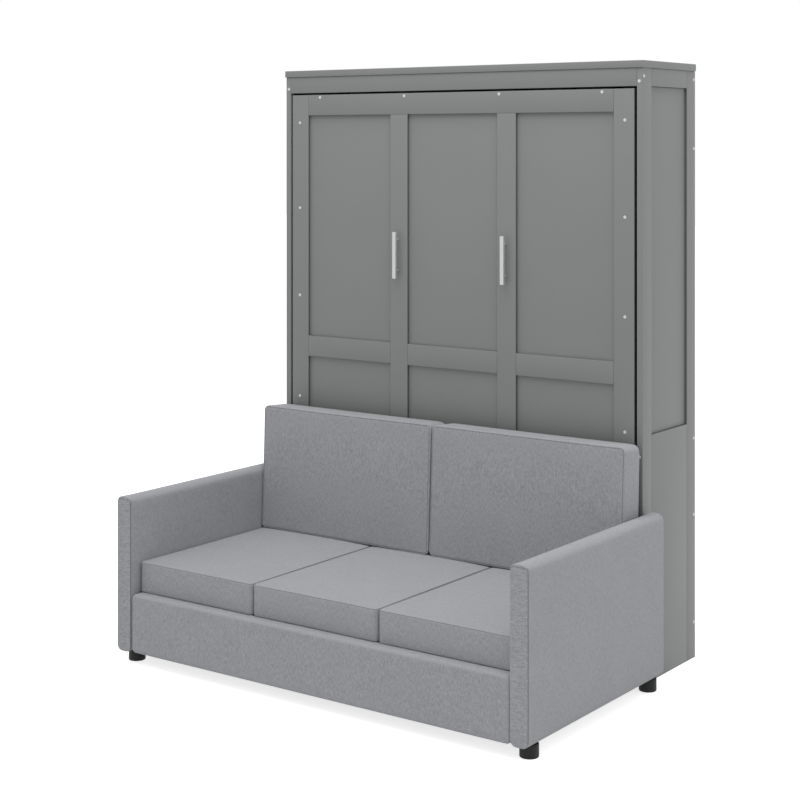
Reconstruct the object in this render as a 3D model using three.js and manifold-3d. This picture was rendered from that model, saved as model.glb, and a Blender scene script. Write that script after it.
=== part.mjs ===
// Wall bed with a sofa in front: the bed stands upright in a cabinet and folds down between the sofa's arms.
// Millimetres, +Z up, +X to the right, -Y to the front, with the origin on the floor at the whole's centre.
// Below, places are given from the middle of the cabinet's front at floor level: x across, y back, z up.
import * as THREE from 'three';
import Module from 'manifold-3d';
import { mergeVertices } from 'three/addons/utils/BufferGeometryUtils.js';
import { RoundedBoxGeometry } from 'three/addons/geometries/RoundedBoxGeometry.js';

const wasm = await Module();
wasm.setup();

// Fits
const seatGap = 0.3;
const cutOverrun = 2;
const railJoin = 0.5;

// Cabinet
const cabinetWidth = 1625;
const cabinetHeight = 2200;
const cabinetDepth = 414;
const sideThickness = 23;
const postDepth = 68;
const topBoardThickness = 26;
const topOverhang = 4;
const headerHeight = 65;
const headerThickness = 23;
const sideRecess = 9;
const sidePanelBottom = 873;
const backPanelThickness = 8;
const backPanelInset = 2;
const backPanelBottom = 100;
const wallRailHeight = 90;
const wallRailThickness = 18;
const kickBoardHeight = 130;
const kickBoardBottom = 20;
const kickBoardThickness = 22;

// Bed front
const frontSideGap = 10.5;
const frontTopGap = 8;
const frontBottom = 215;
const frameBoardWidth = 82;
const frameBoardThickness = 10;
const midStileCentre = 246.5;
const midRailRise = 916;
const frontPanelThickness = 15;

// Steel bed frame behind the front
const railSideGap = 22.5;
const railThickness = 3;
const railDepth = 104;
const railFlange = 30;
const slatCount = 13;
const slatWidth = 62;
const slatThickness = 18;
const slatEndGap = 3;
const slatEndInset = 40;
const tapeWidth = 30;
const tapeThickness = 1.5;
const tapeSink = 0.5;
const tapeOffset = 420;
const bearerWidth = 40;

// Bed pivot, measured from the front's bottom edge and face
const pivotHeight = 322;
const pivotSetback = 40;
const pivotPinRadius = 6;
const pivotPlateWidth = 50;
const pivotPlateHeight = 100;
const hardwareThickness = 3;
const pinClearance = 0.3;

// Lift struts, from the bed's pivot
const strutTopSetback = 175;
const strutTopRise = 473;
const strutFootSetback = 35;
const strutFootDrop = 207;
const strutRadius = 7.5;
const strutLength = 400;
const strutRodRadius = 4;
const strutRodLength = 412;
const strutEyeRadius = 10;
const strutEyeThickness = 12;
const strutStudRadius = 4;
const strutHeadLength = 22;
const strutPlateWidth = 44;
const strutPlateHeight = 70;
const strutFootRadius = 8;
const strutBossRadius = 7;

// Folding leg
const legPivotDepth = 60;
const legPivotInset = 16;
const legCrank = 30.5;
const legBarWidth = 20;
const legBarThickness = 6;
const legEyeRadius = 12;
const legPinRadius = 5;
const legFootRadius = 9;
const legFloorGap = 1;
const legSwing = 250;

// Pull handles
const handleLength = 176;
const handlePostSpacing = 128;
const handleRadius = 6;
const handlePostRadius = 4.5;
const handleReach = 35;
const handleCentreRise = 1258;

// Sofa
const armThickness = 67;
const armSideGap = 5;
const armHeight = 611;
const armReach = 885;
const armOverlap = 21;
const armRounding = 16;
const sofaClearance = 44;
const seatBaseTop = 258;
const frontRailThickness = 60;
const frontRailSetback = 3;
const frontRailRounding = 12;
const deckThickness = 19;
const rearRailThickness = 30;
const sofaBackGap = 15;
const seatCushionHeight = 108.7;
const seatCushionSetback = 45;
const seatCushionCount = 3;
const seatBackSpace = 32;
const cushionGap = 2;
const seatCrown = 7;
const seatDrawIn = 4;
const cushionCorner = 14;
const cushionEdge = 9;
const crownUnderBackShare = 0.46;
const backCushionHeight = 481;
const backCushionFootFront = 154;
const backCushionFootRear = 42;
const backCushionTopFront = 134;
const backCushionTopRear = 25;
const backCrown = 7;
const backDrawIn = 4;
const footRadius = 31;
const footInset = 36.5;
const footFrontSetback = 67;
const footRearSetback = 52;

// Counts of segments round a curve
const pinSegments = 20;
const tubeSegments = 20;
const footSegments = 24;
const roundingSegments = 2;

// Worked out from the sizes above
const halfCabinet = cabinetWidth / 2;
const halfInside = halfCabinet - sideThickness;
const carcaseTop = cabinetHeight - topBoardThickness;
const openingTop = carcaseTop - headerHeight;
const halfFront = halfInside - frontSideGap;
const frontTop = openingTop - frontTopGap;
const midRailTop = frontBottom + midRailRise;
const panelFront = frameBoardThickness + seatGap;
const railFront = panelFront + frontPanelThickness + seatGap;
const railOuter = halfInside - railSideGap;
const railInner = railOuter - railThickness;
const pivot = { y: pivotSetback, z: frontBottom + pivotHeight };
const halfArmInside = halfCabinet + armSideGap;
const armOuter = halfArmInside + armThickness;
const seatFront = -armReach + seatCushionSetback;
const seatTop = seatBaseTop + seatGap + seatCushionHeight;
const backCushionBottom = seatTop + seatCrown * crownUnderBackShare + seatGap;
const sides = [{ tag: 'left', sign: -1 }, { tag: 'right', sign: 1 }];

// Finishes
const paintGrey = 0x838584;
const steelBlack = 0x2b2c2e;
const zincSilver = 0xb9bcc0;
const handleSilver = 0xc9cacc;
const fabricGrey = 0x9c9da2;
const slatBirch = 0xd9c39a;
const plainBoard = 0xb8b2a6;
const footBlack = 0x202124;

function paint() {
  return new THREE.MeshStandardMaterial({ color: paintGrey, roughness: 0.55, metalness: 0 });
}

function steel() {
  return new THREE.MeshStandardMaterial({ color: steelBlack, roughness: 0.45, metalness: 0.6 });
}

function zinc() {
  return new THREE.MeshStandardMaterial({ color: zincSilver, roughness: 0.35, metalness: 0.9 });
}

function brushed() {
  return new THREE.MeshStandardMaterial({ color: handleSilver, roughness: 0.3, metalness: 0.9 });
}

function fabric() {
  return new THREE.MeshStandardMaterial({ color: fabricGrey, roughness: 0.95, metalness: 0 });
}

function birch() {
  return new THREE.MeshStandardMaterial({ color: slatBirch, roughness: 0.6, metalness: 0 });
}

function rawBoard() {
  return new THREE.MeshStandardMaterial({ color: plainBoard, roughness: 0.8, metalness: 0 });
}

function plastic() {
  return new THREE.MeshStandardMaterial({ color: footBlack, roughness: 0.5, metalness: 0 });
}

// Puts a named mesh in the group, at a place if one is given.
function addPiece(group, name, geometry, material, place = [0, 0, 0]) {
  const mesh = new THREE.Mesh(geometry, material);
  mesh.name = name;
  mesh.position.set(...place);
  group.add(mesh);
  return mesh;
}

// A box geometry that fills the space between two corners, in either order along x.
function boxBetween(low, high) {
  const size = low.map((value, axis) => Math.abs(high[axis] - value));
  const centre = low.map((value, axis) => (high[axis] + value) / 2);
  const box = new THREE.BoxGeometry(...size);
  box.translate(...centre);
  return box;
}

function addBoard(group, name, material, low, high) {
  return addPiece(group, name, boxBetween(low, high), material);
}

// A rod along x between two places, about the axis at (y, z).
function rodAcross(radius, from, to, y, z, segments = pinSegments) {
  const rod = new THREE.CylinderGeometry(radius, radius, Math.abs(to - from), segments);
  rod.rotateZ(Math.PI / 2);
  rod.translate((from + to) / 2, y, z);
  return rod;
}

// A rod along z between two heights.
function rodUpright(radius, bottom, top, x, y, segments = tubeSegments) {
  const rod = new THREE.CylinderGeometry(radius, radius, top - bottom, segments);
  rod.rotateX(Math.PI / 2);
  rod.translate(x, y, (bottom + top) / 2);
  return rod;
}

// A rod along y between two depths.
function rodForward(radius, front, rear, x, z, segments = pinSegments) {
  const rod = new THREE.CylinderGeometry(radius, radius, rear - front, segments);
  rod.translate(x, (front + rear) / 2, z);
  return rod;
}

function solidOf(geometry) {
  const bare = geometry.clone();
  bare.deleteAttribute('normal');
  bare.deleteAttribute('uv');
  const merged = mergeVertices(bare);
  return new wasm.Manifold(new wasm.Mesh({
    numProp: 3,
    vertProperties: merged.attributes.position.array,
    triVerts: Uint32Array.from(merged.index.array),
  }));
}

function geometryOf(solid) {
  const mesh = solid.getMesh();
  const geometry = new THREE.BufferGeometry();
  geometry.setAttribute('position', new THREE.BufferAttribute(mesh.vertProperties, 3));
  geometry.setIndex(new THREE.BufferAttribute(mesh.triVerts, 1));
  geometry.computeVertexNormals();
  return geometry;
}

// Joins geometries into one solid, then cuts others from it.
function joinAndCut(joined, cut = []) {
  let solid = solidOf(joined[0]);
  for (const geometry of joined.slice(1)) {
    solid = solid.add(solidOf(geometry));
  }
  for (const geometry of cut) {
    solid = solid.subtract(solidOf(geometry));
  }
  return geometryOf(solid);
}

// Each side is a front and a rear post with a short rail on top, and between them a set-back upper panel
// and a flush lower one.
function addCabinetSide(group, { tag, sign }) {
  const outer = sign * halfCabinet;
  const inner = sign * halfInside;
  const recessed = sign * (halfCabinet - sideRecess);
  const rearPostFront = cabinetDepth - postDepth;
  const panelLow = postDepth + seatGap;
  const panelHigh = rearPostFront - seatGap;
  const postTop = carcaseTop - seatGap;
  addBoard(group, `front_post_${tag}`, paint(), [inner, 0, 0], [outer, postDepth, postTop]);
  addBoard(group, `rear_post_${tag}`, paint(), [inner, rearPostFront, 0], [outer, cabinetDepth, postTop]);
  addBoard(group, `side_top_rail_${tag}`, paint(), [inner, panelLow, openingTop],
    [outer, panelHigh, postTop]);
  addBoard(group, `side_upper_panel_${tag}`, paint(), [inner, panelLow, sidePanelBottom + seatGap],
    [recessed, panelHigh, openingTop - seatGap]);
  addBoard(group, `side_lower_panel_${tag}`, paint(), [inner, panelLow, 0],
    [outer, panelHigh, sidePanelBottom]);
}

function addCabinet(group) {
  for (const side of sides) {
    addCabinetSide(group, side);
  }
  const inside = halfInside - seatGap;
  const wallRailTop = carcaseTop - seatGap;
  const wallRailBottom = wallRailTop - wallRailHeight;
  const backRear = cabinetDepth - backPanelInset;
  addBoard(group, 'top_board', paint(), [-halfCabinet - topOverhang, -topOverhang, carcaseTop],
    [halfCabinet + topOverhang, cabinetDepth, cabinetHeight]);
  addBoard(group, 'header', paint(), [-inside, 0, openingTop],
    [inside, headerThickness, carcaseTop - seatGap]);
  addBoard(group, 'wall_rail', paint(), [-inside, cabinetDepth - wallRailThickness, wallRailBottom],
    [inside, cabinetDepth, wallRailTop]);
  addBoard(group, 'back_panel', paint(), [-inside, backRear - backPanelThickness, backPanelBottom],
    [inside, backRear, wallRailBottom - seatGap]);
  const kickFront = -sofaBackGap + seatGap;
  addBoard(group, 'kick_board', paint(), [-inside, kickFront, kickBoardBottom],
    [inside, kickFront + kickBoardThickness, kickBoardBottom + kickBoardHeight]);
}

// A steel plate on the front post with the pin that the bed turns on.
function addPivotBracket(group, { tag, sign }) {
  const plateOuter = halfInside - seatGap;
  const plateInner = plateOuter - hardwareThickness;
  const pinEnd = railInner - hardwareThickness;
  const plate = boxBetween(
    [sign * plateInner, pivot.y - pivotPlateWidth / 2, pivot.z - pivotPlateHeight / 2],
    [sign * plateOuter, pivot.y + pivotPlateWidth / 2, pivot.z + pivotPlateHeight / 2],
  );
  const pin = rodAcross(pivotPinRadius, sign * (plateInner + railJoin), sign * pinEnd, pivot.y, pivot.z);
  addPiece(group, `pivot_bracket_${tag}`, joinAndCut([plate, pin]), zinc());
}

// The front is three boards side by side, with stiles and rails planted on their face.
function addBedFront(group) {
  const stileInner = halfFront - frameBoardWidth;
  const midOuter = midStileCentre + frameBoardWidth / 2;
  const midInner = midStileCentre - frameBoardWidth / 2;
  const topRailBottom = frontTop - frameBoardWidth;
  const bottomRailTop = frontBottom + frameBoardWidth;
  const midRailBottom = midRailTop - frameBoardWidth;
  const back = frameBoardThickness;
  for (const { tag, sign } of sides) {
    addBoard(group, `stile_${tag}`, paint(), [sign * stileInner, 0, frontBottom],
      [sign * halfFront, back, frontTop]);
    addBoard(group, `mid_stile_${tag}`, paint(), [sign * midInner, 0, bottomRailTop + seatGap],
      [sign * midOuter, back, topRailBottom - seatGap]);
    addBoard(group, `mid_rail_${tag}`, paint(), [sign * (midOuter + seatGap), 0, midRailBottom],
      [sign * (stileInner - seatGap), back, midRailTop]);
    const panelEdge = sign * (midStileCentre + seatGap);
    addBoard(group, `front_panel_${tag}`, paint(), [panelEdge, panelFront, frontBottom],
      [sign * railOuter, panelFront + frontPanelThickness, frontTop]);
  }
  const railEnd = stileInner - seatGap;
  addBoard(group, 'top_rail', paint(), [-railEnd, 0, topRailBottom], [railEnd, back, frontTop]);
  addBoard(group, 'bottom_rail', paint(), [-railEnd, 0, frontBottom], [railEnd, back, bottomRailTop]);
  addBoard(group, 'mid_rail_centre', paint(), [-midInner + seatGap, 0, midRailBottom],
    [midInner - seatGap, back, midRailTop]);
  addBoard(group, 'front_panel_centre', paint(), [-midStileCentre, panelFront, frontBottom],
    [midStileCentre, panelFront + frontPanelThickness, frontTop]);
}

// A round bar on two posts, one on each middle stile.
function addHandle(group, { tag, sign }) {
  const x = sign * midStileCentre;
  const centre = frontBottom + handleCentreRise;
  const barY = -handleReach + handleRadius;
  const bar = rodUpright(handleRadius, centre - handleLength / 2, centre + handleLength / 2, x, barY);
  const posts = [-1, 1].map((end) => (
    rodForward(handlePostRadius, barY, -seatGap, x, centre + end * handlePostSpacing / 2)
  ));
  addPiece(group, `handle_${tag}`, joinAndCut([bar, ...posts]), brushed());
}

// A steel angle with the hole for the bed's pin, the strut's boss and the leg's pin.
function addSideRail(group, { tag, sign }) {
  const foot = { y: pivot.y + strutFootSetback, z: pivot.z - strutFootDrop };
  const leg = legPivot();
  const strutInner = strutPlane() - strutEyeThickness / 2;
  const legPinEnd = halfInside - railSideGap / 2 + legBarThickness / 2 + hardwareThickness / 2;
  const web = boxBetween([sign * railInner, railFront, frontBottom],
    [sign * railOuter, railFront + railDepth, frontTop]);
  const flange = boxBetween([sign * (railOuter - railFlange), railFront, frontBottom],
    [sign * (railOuter - railJoin), railFront + railThickness, frontTop]);
  const boss = rodAcross(strutBossRadius, sign * (railInner + railJoin), sign * (strutInner - seatGap),
    foot.y, foot.z);
  const legPin = rodAcross(legPinRadius, sign * (railInner + railJoin), sign * legPinEnd, leg.y, leg.z);
  const hole = rodAcross(pivotPinRadius + pinClearance, sign * (railInner - cutOverrun),
    sign * (railOuter + cutOverrun), pivot.y, pivot.z);
  addPiece(group, `side_rail_${tag}`, joinAndCut([web, flange, boss, legPin], [hole]), steel());
}

// Slats laid across the side rails, held in a roll by two tapes.
function addSlats(group) {
  const front = railFront + railThickness + seatGap;
  const back = front + slatThickness;
  const halfLength = railInner - slatEndGap;
  const lowest = frontBottom + slatEndInset;
  const highest = frontTop - slatEndInset - slatWidth;
  const pitch = (highest - lowest) / (slatCount - 1);
  const parts = [];
  for (let i = 0; i < slatCount; i += 1) {
    const bottom = lowest + i * pitch;
    parts.push(boxBetween([-halfLength, front, bottom], [halfLength, back, bottom + slatWidth]));
  }
  for (const { sign } of sides) {
    parts.push(boxBetween([sign * (tapeOffset - tapeWidth / 2), back - tapeSink, lowest],
      [sign * (tapeOffset + tapeWidth / 2), back + tapeThickness, highest + slatWidth]));
  }
  addPiece(group, 'slat_roll', joinAndCut(parts), birch());
}

function addBedFrame(group) {
  for (const side of sides) {
    addSideRail(group, side);
  }
  const end = railInner - seatGap;
  const clearOfFlange = railOuter - railFlange - seatGap;
  const endRear = railFront + railDepth;
  const plateRear = railFront + railThickness;
  const endFront = plateRear + seatGap;
  addBoard(group, 'head_rail', steel(), [-end, endFront, frontBottom],
    [end, endRear, frontBottom + railThickness]);
  addBoard(group, 'foot_rail', steel(), [-end, endFront, frontTop - railThickness],
    [end, endRear, frontTop]);
  addBoard(group, 'slat_bearer', steel(), [-bearerWidth / 2, railFront, frontBottom],
    [bearerWidth / 2, plateRear, frontTop]);
  addBoard(group, 'front_stiffener', steel(),
    [bearerWidth / 2 + seatGap, railFront, midRailTop - frameBoardWidth],
    [clearOfFlange, plateRear, midRailTop]);
  addSlats(group);
}

function legPivot() {
  return { y: legPivotDepth, z: frontTop - legPivotInset };
}

// The leg is drawn as it stands when the bed is down, about its pivot, and turned back to its folded place.
function addLeg(group) {
  const plane = halfInside - railSideGap / 2;
  const inner = plane - legBarThickness / 2;
  const outer = plane + legBarThickness / 2;
  const floorDepth = pivot.z - pivot.y;
  const reach = legPivotDepth + floorDepth - legFloorGap - legFootRadius;
  const barLow = legCrank - legBarWidth / 2;
  const barHigh = legCrank + legBarWidth / 2;
  const joined = [rodAcross(legFootRadius, -outer, outer, -reach, legCrank)];
  const cut = [];
  for (const { sign } of sides) {
    joined.push(boxBetween([sign * inner, -reach, barLow], [sign * outer, legBarWidth / 2, barHigh]));
    joined.push(boxBetween([sign * inner, -legBarWidth / 2, 0], [sign * outer, legBarWidth / 2, barHigh]));
    joined.push(rodAcross(legEyeRadius, sign * inner, sign * outer, 0, 0));
    cut.push(rodAcross(legPinRadius + pinClearance, sign * (inner - cutOverrun),
      sign * (outer + cutOverrun), 0, 0));
  }
  const place = legPivot();
  const leg = addPiece(group, 'folding_leg', joinAndCut(joined, cut), steel(), [0, place.y, place.z]);
  leg.rotation.x = THREE.MathUtils.degToRad(-legSwing);
}

function strutPlane() {
  return halfInside - railSideGap / 2;
}

// A gas strut hangs from the cabinet's side and holds the bed's tail down, so that the bed feels light.
function addStrut(group, { tag, sign }) {
  const top = { y: pivot.y + strutTopSetback, z: pivot.z + strutTopRise };
  const foot = { y: pivot.y + strutFootSetback, z: pivot.z - strutFootDrop };
  const span = Math.hypot(top.y - foot.y, top.z - foot.z);
  const lean = Math.atan2(foot.y - top.y, top.z - foot.z);
  const x = sign * strutPlane();
  const eyeInner = x - strutEyeThickness / 2;
  const eyeOuter = x + strutEyeThickness / 2;
  const frame = new THREE.Group();
  frame.position.set(0, top.y, top.z);
  frame.rotation.x = lean;
  group.add(frame);

  const tube = rodUpright(strutRadius, -strutLength, -strutEyeRadius / 2, x, 0);
  const eye = rodAcross(strutEyeRadius, eyeInner, eyeOuter, 0, 0);
  const bore = rodUpright(strutRodRadius + pinClearance, -strutLength - cutOverrun, -strutHeadLength, x, 0);
  const studHole = rodAcross(strutStudRadius + pinClearance, eyeInner - cutOverrun,
    eyeOuter + cutOverrun, 0, 0);
  addPiece(frame, `strut_cylinder_${tag}`, joinAndCut([tube, eye], [bore, studHole]), steel());

  const rod = rodUpright(strutRodRadius, -span, -span + strutRodLength, x, 0);
  const fitting = rodAcross(strutFootRadius, eyeInner, eyeOuter, 0, -span);
  addPiece(frame, `strut_rod_${tag}`, joinAndCut([rod, fitting]), zinc());

  const plateOuter = halfInside - seatGap;
  const plateInner = plateOuter - hardwareThickness;
  const studEnd = strutPlane() - strutEyeThickness / 2;
  const plate = boxBetween([sign * plateInner, top.y - strutPlateWidth / 2, top.z - strutPlateHeight / 2],
    [sign * plateOuter, top.y + strutPlateWidth / 2, top.z + strutPlateHeight / 2]);
  const stud = rodAcross(strutStudRadius, sign * (plateInner + railJoin), sign * studEnd, top.y, top.z);
  addPiece(group, `strut_bracket_${tag}`, joinAndCut([plate, stud]), zinc());
}

// The outline of a cushion seen from above: a rectangle with round corners, drawn in along its edges.
function cushionOutline(width, depth, inset, drawIn) {
  const cornerSteps = 3;
  const edgeSteps = 5;
  const radius = Math.max(cushionCorner - inset, cushionCorner / cornerSteps);
  const halfWidth = width / 2 - inset;
  const halfDepth = depth / 2 - inset;
  const corners = [[1, 1], [-1, 1], [-1, -1], [1, -1]];
  const points = [];
  corners.forEach(([sx, sy], index) => {
    const start = index * Math.PI / 2;
    for (let step = 0; step <= cornerSteps; step += 1) {
      const angle = start + step * Math.PI / 2 / cornerSteps;
      const x = sx * (halfWidth - radius) + radius * Math.cos(angle);
      const y = sy * (halfDepth - radius) + radius * Math.sin(angle);
      points.push(new THREE.Vector2(x, y));
    }
    const next = corners[(index + 1) % corners.length];
    const from = points[points.length - 1];
    const nextAngle = start + Math.PI / 2;
    const to = new THREE.Vector2(
      next[0] * (halfWidth - radius) + radius * Math.cos(nextAngle),
      next[1] * (halfDepth - radius) + radius * Math.sin(nextAngle),
    );
    for (let step = 1; step < edgeSteps; step += 1) {
      points.push(from.clone().lerp(to, step / edgeSteps));
    }
  });
  for (const point of points) {
    const u = point.x / (width / 2);
    const v = point.y / (depth / 2);
    point.x -= u * drawIn * (1 - v * v);
    point.y -= v * drawIn * (1 - u * u);
  }
  return points;
}

// A boxed cushion, lying flat with its bottom at zero: flat below, round at its edges, crowned on top.
function cushionGeometry(width, depth, height, crown, drawIn) {
  const edgeSteps = 3;
  const crownShares = [0.9, 0.72, 0.46, 0.2];
  const bottomShare = 0.5;
  const rings = [];
  const crownAt = (x, y) => {
    const u = Math.min(1, Math.abs(x) / (width / 2));
    const v = Math.min(1, Math.abs(y) / (depth / 2));
    return crown * (1 - u * u) * (1 - v * v);
  };
  const flatRing = cushionOutline(width, depth, cushionEdge, drawIn);
  rings.push(flatRing.map((p) => [p.x * bottomShare, p.y * bottomShare, 0]));
  for (let step = 0; step <= edgeSteps; step += 1) {
    const turn = step / edgeSteps * Math.PI / 2;
    const outline = cushionOutline(width, depth, cushionEdge * (1 - Math.sin(turn)), drawIn);
    rings.push(outline.map((p) => [p.x, p.y, cushionEdge * (1 - Math.cos(turn))]));
  }
  for (let step = 0; step <= edgeSteps; step += 1) {
    const turn = step / edgeSteps * Math.PI / 2;
    const outline = cushionOutline(width, depth, cushionEdge * (1 - Math.cos(turn)), drawIn);
    const rim = height - cushionEdge * (1 - Math.sin(turn));
    rings.push(outline.map((p) => [p.x, p.y, rim + crownAt(p.x, p.y)]));
  }
  for (const share of crownShares) {
    rings.push(flatRing.map((p) => [p.x * share, p.y * share, height + crownAt(p.x * share, p.y * share)]));
  }
  const count = flatRing.length;
  const places = rings.flat(2);
  const bottomCentre = places.length / 3;
  places.push(0, 0, 0, 0, 0, height + crown);
  const faces = [];
  for (let ring = 0; ring < rings.length - 1; ring += 1) {
    for (let i = 0; i < count; i += 1) {
      const a = ring * count + i;
      const b = ring * count + (i + 1) % count;
      faces.push(a, b, b + count, a, b + count, a + count);
    }
  }
  const lastRing = (rings.length - 1) * count;
  for (let i = 0; i < count; i += 1) {
    const next = (i + 1) % count;
    faces.push(bottomCentre, next, i, bottomCentre + 1, lastRing + i, lastRing + next);
  }
  const geometry = new THREE.BufferGeometry();
  geometry.setAttribute('position', new THREE.Float32BufferAttribute(places, 3));
  geometry.setIndex(faces);
  geometry.computeVertexNormals();
  return geometry;
}

function addSeatCushions(group) {
  const names = ['left', 'centre', 'right'];
  const pitch = 2 * halfArmInside / seatCushionCount;
  const width = pitch - cushionGap;
  const depth = -seatBackSpace - seatFront;
  const y = (seatFront - seatBackSpace) / 2;
  for (let i = 0; i < seatCushionCount; i += 1) {
    const x = (i - (seatCushionCount - 1) / 2) * pitch;
    const cushion = cushionGeometry(width, depth, seatCushionHeight, seatCrown, seatDrawIn);
    addPiece(group, `seat_cushion_${names[i]}`, cushion, fabric(), [x, y, seatBaseTop + seatGap]);
  }
}

// A back cushion is a wedge: it is modelled lying, then stood up between its leaning front and its rear face.
function addBackCushion(group, { tag, sign }) {
  const width = halfArmInside - cushionGap - seatGap;
  const footThickness = backCushionFootFront - backCushionFootRear;
  const cushion = cushionGeometry(width, backCushionHeight, footThickness, backCrown, backDrawIn);
  const places = cushion.attributes.position;
  for (let i = 0; i < places.count; i += 1) {
    const rise = places.getY(i) + backCushionHeight / 2;
    const share = rise / backCushionHeight;
    const front = THREE.MathUtils.lerp(backCushionFootFront, backCushionTopFront, share);
    const rear = THREE.MathUtils.lerp(backCushionFootRear, backCushionTopRear, share);
    const through = places.getZ(i) / footThickness;
    places.setXYZ(i, places.getX(i), -rear - through * (front - rear), rise);
  }
  cushion.computeVertexNormals();
  const x = sign * (width + cushionGap) / 2;
  addPiece(group, `back_cushion_${tag}`, cushion, fabric(), [x, 0, backCushionBottom]);
}

function addSofaBase(group) {
  const inside = halfArmInside - seatGap;
  const railFrontFace = -armReach + frontRailSetback;
  const railRear = railFrontFace + frontRailThickness;
  const railHeight = seatBaseTop - sofaClearance;
  const frontRail = new RoundedBoxGeometry(2 * inside, frontRailThickness, railHeight, roundingSegments,
    frontRailRounding);
  addPiece(group, 'sofa_front_rail', frontRail, fabric(),
    [0, (railFrontFace + railRear) / 2, sofaClearance + railHeight / 2]);
  const deckBottom = seatBaseTop - deckThickness;
  addBoard(group, 'seat_deck', rawBoard(), [-inside, railRear + seatGap, deckBottom],
    [inside, -sofaBackGap, seatBaseTop]);
  addBoard(group, 'sofa_rear_rail', rawBoard(), [-inside, -sofaBackGap - rearRailThickness, sofaClearance],
    [inside, -sofaBackGap, deckBottom - seatGap]);
}

function addArm(group, { tag, sign }) {
  const length = armReach + armOverlap;
  const height = armHeight - sofaClearance;
  const arm = new RoundedBoxGeometry(armThickness, length, height, roundingSegments, armRounding);
  addPiece(group, `arm_${tag}`, arm, fabric(),
    [sign * (halfArmInside + armThickness / 2), armOverlap - length / 2, sofaClearance + height / 2]);
}

function addFeet(group, { tag, sign }) {
  const depths = { front: -armReach + footFrontSetback, rear: armOverlap - footRearSetback };
  const height = sofaClearance - seatGap;
  for (const [end, y] of Object.entries(depths)) {
    const foot = new THREE.CylinderGeometry(footRadius, footRadius, height, footSegments);
    foot.rotateX(Math.PI / 2);
    addPiece(group, `foot_${end}_${tag}`, foot, plastic(), [sign * (armOuter - footInset), y, height / 2]);
  }
}

function addSofa(group) {
  addSofaBase(group);
  addSeatCushions(group);
  for (const side of sides) {
    addArm(group, side);
    addBackCushion(group, side);
    addFeet(group, side);
  }
}

function buildWallBed() {
  const whole = new THREE.Group();
  const group = new THREE.Group();
  group.position.y = (armReach - cabinetDepth) / 2;
  whole.add(group);
  addCabinet(group);
  addBedFront(group);
  addBedFrame(group);
  addLeg(group);
  for (const side of sides) {
    addPivotBracket(group, side);
    addStrut(group, side);
    addHandle(group, side);
  }
  addSofa(group);
  return whole;
}

export default buildWallBed();
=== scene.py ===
import math

import bmesh
import bpy
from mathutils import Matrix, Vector


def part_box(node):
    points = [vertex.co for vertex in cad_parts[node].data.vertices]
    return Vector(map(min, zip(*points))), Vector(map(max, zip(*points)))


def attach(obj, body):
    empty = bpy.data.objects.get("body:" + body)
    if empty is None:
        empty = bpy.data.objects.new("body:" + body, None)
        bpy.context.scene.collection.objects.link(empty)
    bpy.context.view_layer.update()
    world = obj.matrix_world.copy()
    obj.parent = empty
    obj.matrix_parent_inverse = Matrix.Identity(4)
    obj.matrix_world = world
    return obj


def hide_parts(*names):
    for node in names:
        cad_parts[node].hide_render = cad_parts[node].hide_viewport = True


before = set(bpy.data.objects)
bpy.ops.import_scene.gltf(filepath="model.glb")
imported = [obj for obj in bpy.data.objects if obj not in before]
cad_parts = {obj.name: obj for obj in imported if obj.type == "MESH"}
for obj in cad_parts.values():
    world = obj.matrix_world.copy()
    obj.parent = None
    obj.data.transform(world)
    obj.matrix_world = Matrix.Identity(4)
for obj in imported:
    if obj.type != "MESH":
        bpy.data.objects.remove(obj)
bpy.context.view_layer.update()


# Cabinet carcase: posts, rails and panels sawn from board and glued up, with the arrises eased and all
# sprayed in one satin grey. The narrow edges round each set-back panel take a darker grey, painted shade
# standing for the shadow in the recess. The top board covers the ends.
X, Y, Z = range(3)
POST_EASE = 0.0016
PANEL_EASE = 0.0012
EASE_STEPS = 3
SQUARELY = 0.8
SMOOTH_ANGLE = 40
PAINT = (134, 136, 135)
PAINTED_EDGE_SHADE = (100, 102, 101)


def tone(colour, step=0):
    """A colour as it is read off a screen, made paler by a step, as the light values that a shader takes."""
    shares = [(c + step) / 255 for c in colour]
    return (*[s / 12.92 if s <= 0.04045 else ((s + 0.055) / 1.055) ** 2.4 for s in shares], 1)


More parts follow.
